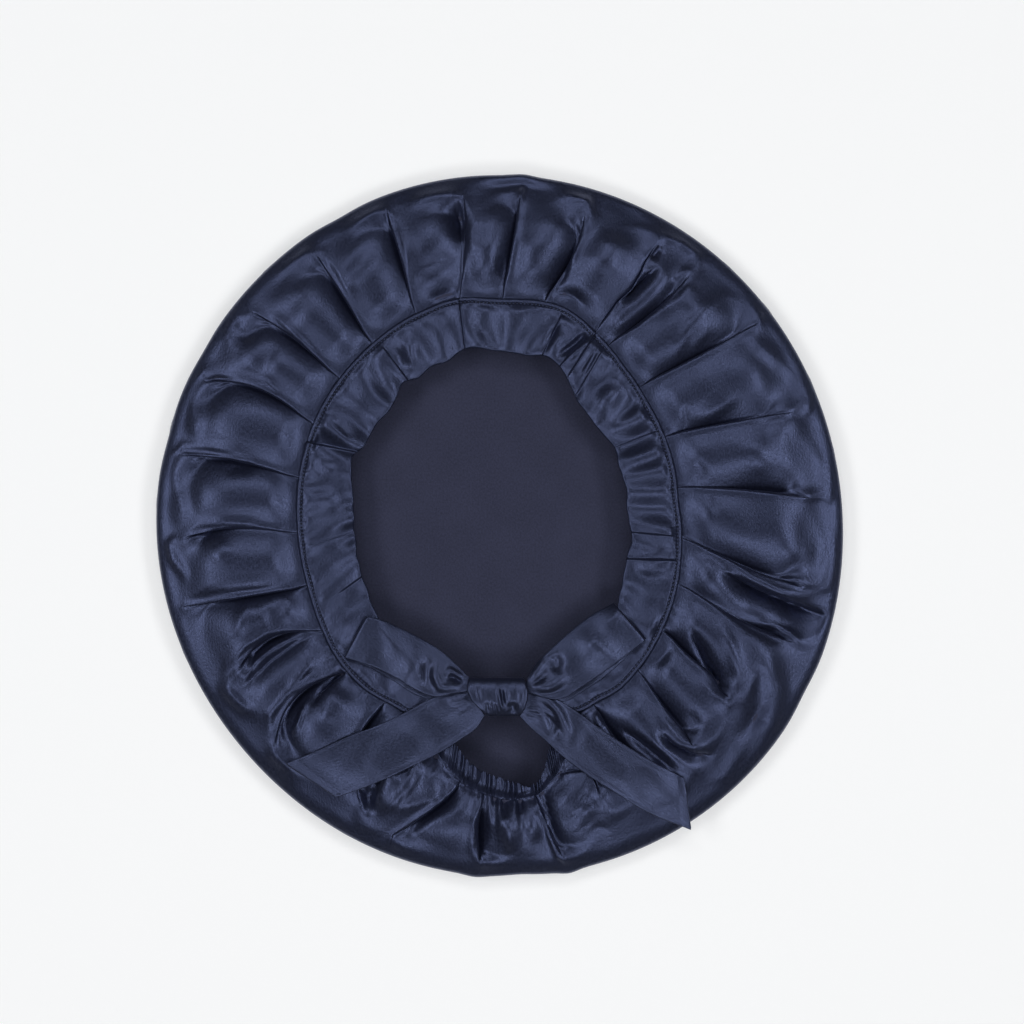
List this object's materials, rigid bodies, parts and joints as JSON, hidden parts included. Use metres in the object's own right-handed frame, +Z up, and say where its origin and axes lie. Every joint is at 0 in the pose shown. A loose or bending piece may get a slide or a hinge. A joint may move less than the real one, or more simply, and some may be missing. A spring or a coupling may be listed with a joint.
{
  "type": "sleep bonnet",
  "caption": "Pleated satin sleep bonnet lying open side up, with a flat band, an elastic nape casing and a ribbon bow.",
  "frame": {"origin": "on the floor under the middle of the crown, which lies on its closed side with the head opening up", "axes": "+Z up, out of the head opening; +Y towards the forehead side; the ties and the keyhole at the nape are at -Y; +X to the right seen from above"},
  "size_m": [0.3319, 0.3394, 0.0272],
  "materials": {
    "crown_satin": "navy woven satin, glossy face outside, matte back inside",
    "band_satin": "navy woven satin, topstitched, lightly puckered",
    "ribbon_satin": "navy satin ribbon, soft sheen"
  },
  "bodies": {
    "root": {"crown": "crown_satin", "band": "band_satin", "nape_casing": "band_satin", "loop_left": "ribbon_satin", "loop_right": "ribbon_satin", "tail_left": "ribbon_satin", "tail_right": "ribbon_satin", "knot": "ribbon_satin"}
  },
  "joints": []
}
